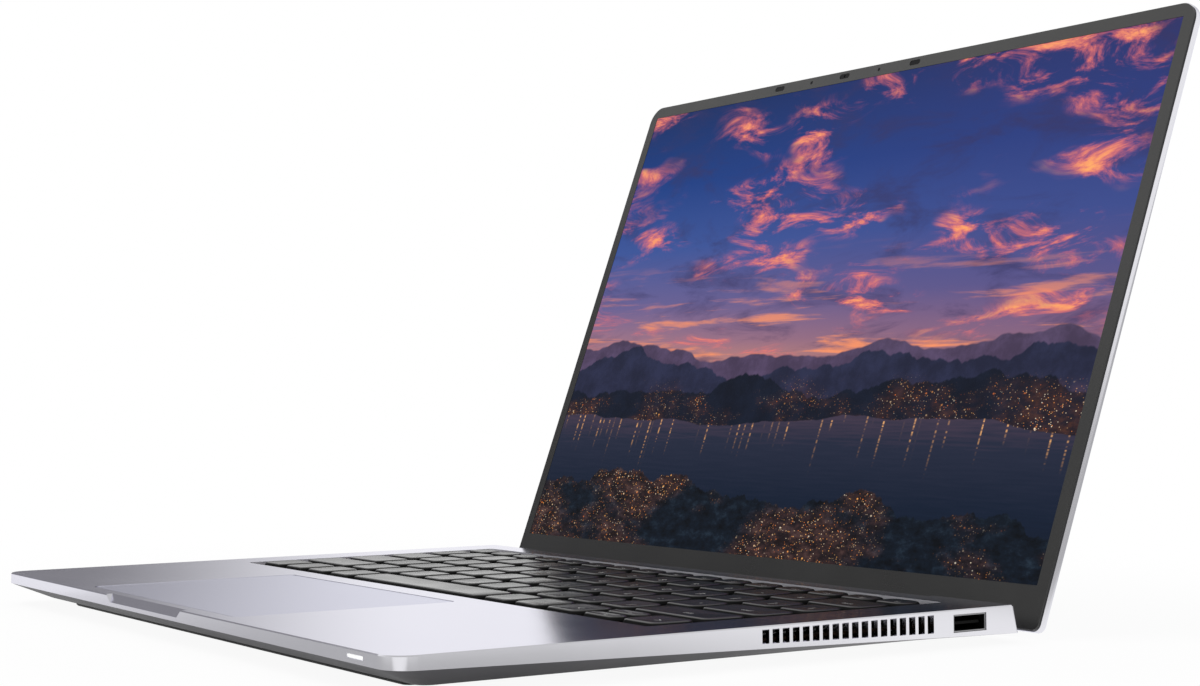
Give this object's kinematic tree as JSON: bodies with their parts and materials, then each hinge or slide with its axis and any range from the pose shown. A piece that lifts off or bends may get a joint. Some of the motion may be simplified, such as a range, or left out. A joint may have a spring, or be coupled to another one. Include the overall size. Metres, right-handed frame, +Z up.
{
  "type": "laptop computer",
  "caption": "Open clamshell laptop: silver case with a wedge-shaped side band, dark bevelled bottom, black keys in a well, touchpad and a slim-bezel screen on a drop hinge.",
  "frame": {"origin": "on the table, under the middle of the open laptop's box", "axes": "+X to the user's right, +Y from the user to the back, +Z up"},
  "size_m": [0.3104, 0.2896, 0.1969],
  "materials": {
    "silver_case": "fine blasted anodised",
    "dark_cover": "satin dark grey",
    "black_steel": "black",
    "rubber_foot": "matt",
    "keyboard_plate": "matt black",
    "sheet_steel": "bright sheet",
    "black_plastic": "matt",
    "circuit_board": "lacquered",
    "chip": "matt",
    "battery_cell": "foil pouch",
    "copper": "bare copper",
    "port_shell": "plated",
    "hinge_steel": "dark satin",
    "light_bar": "milky",
    "display": "anti-glare glass",
    "bezel": "satin dark grey",
    "dark_glass": "gloss",
    "touchpad": "frosted glass, silver",
    "keycap": "satin"
  },
  "bodies": {
    "base": {"upper_case": "silver_case", "bottom_cover": "dark_cover", "bottom_screws": "black_steel", "foot_front": "rubber_foot", "foot_rear": "rubber_foot", "keyboard_plate": "keyboard_plate", "touchpad_tray": "sheet_steel", "touchpad_switch": "black_plastic", "mainboard": "circuit_board", "processor": "chip", "memory_chips": "chip", "ssd_card": "circuit_board", "wireless_card": "circuit_board", "battery_frame": "black_plastic", "battery_cells": "battery_cell", "fan_housing": "sheet_steel", "fin_stack": "copper", "heat_pipe": "copper", "speaker_left": "black_plastic", "speaker_right": "black_plastic", "usb_a_port": "port_shell", "usb_c_port_front": "port_shell", "usb_c_port_rear": "port_shell", "hdmi_port": "port_shell", "hinge_base_left": "hinge_steel", "hinge_base_right": "hinge_steel", "status_light": "light_bar"},
    "lid": {"lid_cover": "silver_case", "display_panel": "display", "screen_bezel": "bezel", "camera_board": "circuit_board", "camera_lens": "dark_glass", "infrared_windows": "dark_glass", "sensor_windows": "dark_glass", "hinge_arm_left": "hinge_steel", "hinge_arm_right": "hinge_steel", "hinge_pin_left": "hinge_steel", "hinge_pin_right": "hinge_steel", "hinge_cover": "bezel"},
    "touchpad": {"touchpad_plate": "touchpad"},
    "fan": {"fan_rotor": "black_plastic"},
    "function_keys": {"function_keys": "keycap"},
    "power_key": {"power_key": "keycap"},
    "number_keys": {"number_keys": "keycap"},
    "backspace": {"backspace": "keycap"},
    "tab": {"tab": "keycap"},
    "top_letter_keys": {"top_letter_keys": "keycap"},
    "caps_lock": {"caps_lock": "keycap"},
    "home_letter_keys": {"home_letter_keys": "keycap"},
    "enter": {"enter": "keycap"},
    "left_shift": {"left_shift": "keycap"},
    "bottom_letter_keys": {"bottom_letter_keys": "keycap"},
    "right_shift": {"right_shift": "keycap"},
    "left_modifier_keys": {"left_modifier_keys": "keycap"},
    "space_bar": {"space_bar": "keycap"},
    "right_modifier_keys": {"right_modifier_keys": "keycap"},
    "arrow_left": {"arrow_left": "keycap"},
    "arrow_up": {"arrow_up": "keycap"},
    "arrow_down": {"arrow_down": "keycap"},
    "arrow_right": {"arrow_right": "keycap"}
  },
  "joints": [
    {"name": "lid_hinge", "type": "hinge", "parent": "base", "child": "lid", "pos_m": [0, 0.06266, 0.00515], "axis": [1, 0, 0], "range_deg": [-9, 110.58]},
    {"name": "touchpad_click", "type": "hinge", "parent": "base", "child": "touchpad", "pos_m": [-0.0165, -0.06684, 0.0098], "axis": [1, 0, 0], "range_deg": [0, 0.4], "stiffness_Nm_per_rad": 17, "springref_deg": -0.29},
    {"name": "fan_spin", "type": "hinge", "parent": "base", "child": "fan", "pos_m": [0.1035, -0.00184, 0.005], "axis": [0, 0, 1], "continuous": true},
    {"name": "function_keys_press", "type": "slide", "parent": "base", "child": "function_keys", "axis": [0, 0, -1], "range_m": [0, 0.0012], "stiffness_N_per_m": 400, "springref_m": -0.0008},
    {"name": "power_key_press", "type": "slide", "parent": "base", "child": "power_key", "axis": [0, 0, -1], "range_m": [0, 0.0012], "stiffness_N_per_m": 400, "springref_m": -0.0008},
    {"name": "number_keys_press", "type": "slide", "parent": "base", "child": "number_keys", "axis": [0, 0, -1], "range_m": [0, 0.0012], "stiffness_N_per_m": 400, "springref_m": -0.0008},
    {"name": "backspace_press", "type": "slide", "parent": "base", "child": "backspace", "axis": [0, 0, -1], "range_m": [0, 0.0012], "stiffness_N_per_m": 400, "springref_m": -0.0008},
    {"name": "tab_press", "type": "slide", "parent": "base", "child": "tab", "axis": [0, 0, -1], "range_m": [0, 0.0012], "stiffness_N_per_m": 400, "springref_m": -0.0008},
    {"name": "top_letter_keys_press", "type": "slide", "parent": "base", "child": "top_letter_keys", "axis": [0, 0, -1], "range_m": [0, 0.0012], "stiffness_N_per_m": 400, "springref_m": -0.0008},
    {"name": "caps_lock_press", "type": "slide", "parent": "base", "child": "caps_lock", "axis": [0, 0, -1], "range_m": [0, 0.0012], "stiffness_N_per_m": 400, "springref_m": -0.0008},
    {"name": "home_letter_keys_press", "type": "slide", "parent": "base", "child": "home_letter_keys", "axis": [0, 0, -1], "range_m": [0, 0.0012], "stiffness_N_per_m": 400, "springref_m": -0.0008},
    {"name": "enter_press", "type": "slide", "parent": "base", "child": "enter", "axis": [0, 0, -1], "range_m": [0, 0.0012], "stiffness_N_per_m": 400, "springref_m": -0.0008},
    {"name": "left_shift_press", "type": "slide", "parent": "base", "child": "left_shift", "axis": [0, 0, -1], "range_m": [0, 0.0012], "stiffness_N_per_m": 400, "springref_m": -0.0008},
    {"name": "bottom_letter_keys_press", "type": "slide", "parent": "base", "child": "bottom_letter_keys", "axis": [0, 0, -1], "range_m": [0, 0.0012], "stiffness_N_per_m": 400, "springref_m": -0.0008},
    {"name": "right_shift_press", "type": "slide", "parent": "base", "child": "right_shift", "axis": [0, 0, -1], "range_m": [0, 0.0012], "stiffness_N_per_m": 400, "springref_m": -0.0008},
    {"name": "left_modifier_keys_press", "type": "slide", "parent": "base", "child": "left_modifier_keys", "axis": [0, 0, -1], "range_m": [0, 0.0012], "stiffness_N_per_m": 400, "springref_m": -0.0008},
    {"name": "space_bar_press", "type": "slide", "parent": "base", "child": "space_bar", "axis": [0, 0, -1], "range_m": [0, 0.0012], "stiffness_N_per_m": 400, "springref_m": -0.0008},
    {"name": "right_modifier_keys_press", "type": "slide", "parent": "base", "child": "right_modifier_keys", "axis": [0, 0, -1], "range_m": [0, 0.0012], "stiffness_N_per_m": 400, "springref_m": -0.0008},
    {"name": "arrow_left_press", "type": "slide", "parent": "base", "child": "arrow_left", "axis": [0, 0, -1], "range_m": [0, 0.0012], "stiffness_N_per_m": 400, "springref_m": -0.0008},
    {"name": "arrow_up_press", "type": "slide", "parent": "base", "child": "arrow_up", "axis": [0, 0, -1], "range_m": [0, 0.0012], "stiffness_N_per_m": 400, "springref_m": -0.0008},
    {"name": "arrow_down_press", "type": "slide", "parent": "base", "child": "arrow_down", "axis": [0, 0, -1], "range_m": [0, 0.0012], "stiffness_N_per_m": 400, "springref_m": -0.0008},
    {"name": "arrow_right_press", "type": "slide", "parent": "base", "child": "arrow_right", "axis": [0, 0, -1], "range_m": [0, 0.0012], "stiffness_N_per_m": 400, "springref_m": -0.0008}
  ]
}
